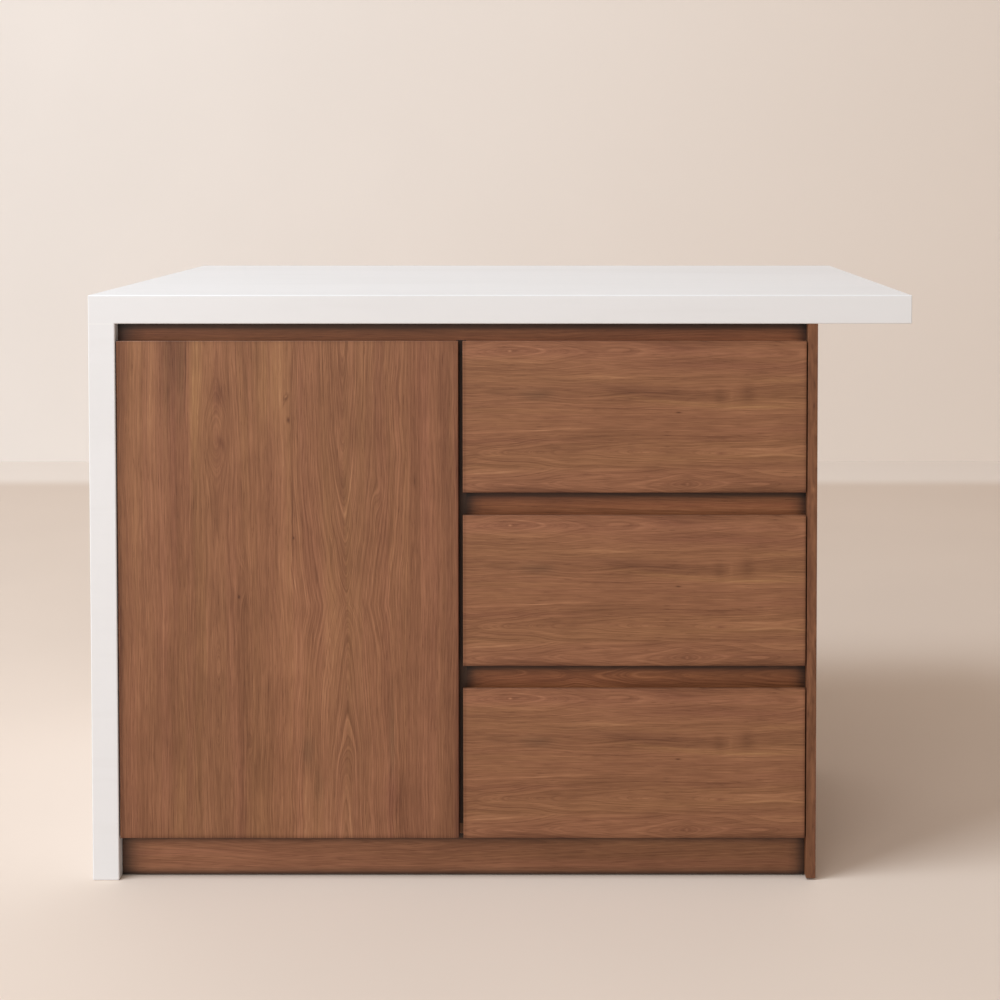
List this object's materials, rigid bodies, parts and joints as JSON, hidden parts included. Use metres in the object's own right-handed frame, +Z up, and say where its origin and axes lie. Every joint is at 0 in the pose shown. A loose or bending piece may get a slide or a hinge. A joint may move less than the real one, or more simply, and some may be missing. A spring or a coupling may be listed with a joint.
{
  "type": "kitchen island unit",
  "caption": "Handleless kitchen island with a stone waterfall worktop, a hinged cupboard door, drawers on full-extension runners and an overhang for seating.",
  "frame": {"origin": "centre of the whole outline on the floor", "axes": "+X to the right as seen from the door side, +Y from the door side to the seating side, +Z up"},
  "size_m": [1.272, 0.9, 0.914],
  "materials": {
    "stone_white": "honed white engineered stone with faint cloudy streaks",
    "walnut_vertical": "satin walnut veneer, grain upright",
    "walnut_horizontal": "satin walnut veneer, grain level",
    "carcass_board": "matt walnut-tone carcass board",
    "birch": "satin lacquered birch plywood",
    "zinc_steel": "zinc-plated steel",
    "nickel_steel": "nickel-plated steel",
    "black_plastic": "black moulded plastic",
    "clear_pad": "clear soft bumper"
  },
  "bodies": {
    "cabinet": {"worktop": "stone_white", "waterfall_panel": "stone_white", "support_bars": "zinc_steel", "left_side": "carcass_board", "centre_divider": "carcass_board", "right_end_panel": "walnut_vertical", "bottom_panel": "carcass_board", "cabinet_back": "carcass_board", "rear_panel": "walnut_vertical", "top_rail": "walnut_horizontal", "upper_drawer_rail": "walnut_horizontal", "lower_drawer_rail": "walnut_horizontal", "rear_stretchers": "carcass_board", "plinth_board": "walnut_horizontal", "plinth_clips": "black_plastic", "leg_sockets": "black_plastic", "levelling_feet": "black_plastic", "end_panel_glides": "black_plastic", "shelf": "carcass_board", "shelf_pins": "nickel_steel", "carcass_dowels": "birch", "worktop_brackets": "zinc_steel", "hinge_plates": "nickel_steel", "hinge_arms": "nickel_steel", "hinge_arm_pins": "zinc_steel", "top_cabinet_members": "zinc_steel", "middle_cabinet_members": "zinc_steel", "bottom_cabinet_members": "zinc_steel"},
    "hinge_inner_link": {"hinge_inner_links": "nickel_steel"},
    "hinge_outer_link": {"hinge_outer_links": "nickel_steel"},
    "door": {"door_panel": "walnut_vertical", "hinge_cups": "nickel_steel", "hinge_cup_pins": "zinc_steel", "door_bumpers": "clear_pad"},
    "top_drawer": {"top_drawer_front": "walnut_horizontal", "top_drawer_inner_front": "birch", "top_drawer_left_side": "birch", "top_drawer_right_side": "birch", "top_drawer_back": "birch", "top_drawer_bottom": "birch", "top_drawer_members": "zinc_steel"},
    "top_runner_middle": {"top_middle_members": "zinc_steel"},
    "middle_drawer": {"middle_drawer_front": "walnut_horizontal", "middle_drawer_inner_front": "birch", "middle_drawer_left_side": "birch", "middle_drawer_right_side": "birch", "middle_drawer_back": "birch", "middle_drawer_bottom": "birch", "middle_drawer_members": "zinc_steel"},
    "middle_runner_middle": {"middle_middle_members": "zinc_steel"},
    "bottom_drawer": {"bottom_drawer_front": "walnut_horizontal", "bottom_drawer_inner_front": "birch", "bottom_drawer_left_side": "birch", "bottom_drawer_right_side": "birch", "bottom_drawer_back": "birch", "bottom_drawer_bottom": "birch", "bottom_drawer_members": "zinc_steel"},
    "bottom_runner_middle": {"bottom_middle_members": "zinc_steel"}
  },
  "joints": [
    {"name": "inner_link_swing", "type": "hinge", "parent": "cabinet", "child": "hinge_inner_link", "pos_m": [-0.551, -0.417, 0.4545], "axis": [0, 0, 1], "range_deg": [0, 46.4]},
    {"name": "door_swing", "type": "hinge", "parent": "hinge_inner_link", "child": "door", "pos_m": [-0.5829, -0.4335, 0.4545], "axis": [0, 0, -1], "range_deg": [0, 141.29]},
    {"name": "outer_link_swing", "type": "hinge", "parent": "cabinet", "child": "hinge_outer_link", "pos_m": [-0.5585, -0.4335, 0.4545], "axis": [0, 0, 1], "range_deg": [0, 57.5]},
    {"name": "top_drawer_slide", "type": "slide", "parent": "cabinet", "child": "top_drawer", "axis": [0, -1, 0], "range_m": [0, 0.48]},
    {"name": "top_runner_slide", "type": "slide", "parent": "cabinet", "child": "top_runner_middle", "axis": [0, -1, 0], "range_m": [0, 0.2405]},
    {"name": "middle_drawer_slide", "type": "slide", "parent": "cabinet", "child": "middle_drawer", "axis": [0, -1, 0], "range_m": [0, 0.48]},
    {"name": "middle_runner_slide", "type": "slide", "parent": "cabinet", "child": "middle_runner_middle", "axis": [0, -1, 0], "range_m": [0, 0.2405]},
    {"name": "bottom_drawer_slide", "type": "slide", "parent": "cabinet", "child": "bottom_drawer", "axis": [0, -1, 0], "range_m": [0, 0.48]},
    {"name": "bottom_runner_slide", "type": "slide", "parent": "cabinet", "child": "bottom_runner_middle", "axis": [0, -1, 0], "range_m": [0, 0.2405]}
  ],
  "couplings": [
    {"joint": "inner_link_swing", "follows": "door_swing", "ratio": 0.32765},
    {"joint": "outer_link_swing", "follows": "door_swing", "ratio": 0.40625},
    {"joint": "top_runner_slide", "follows": "top_drawer_slide", "ratio": 0.5},
    {"joint": "middle_runner_slide", "follows": "middle_drawer_slide", "ratio": 0.5},
    {"joint": "bottom_runner_slide", "follows": "bottom_drawer_slide", "ratio": 0.5}
  ]
}
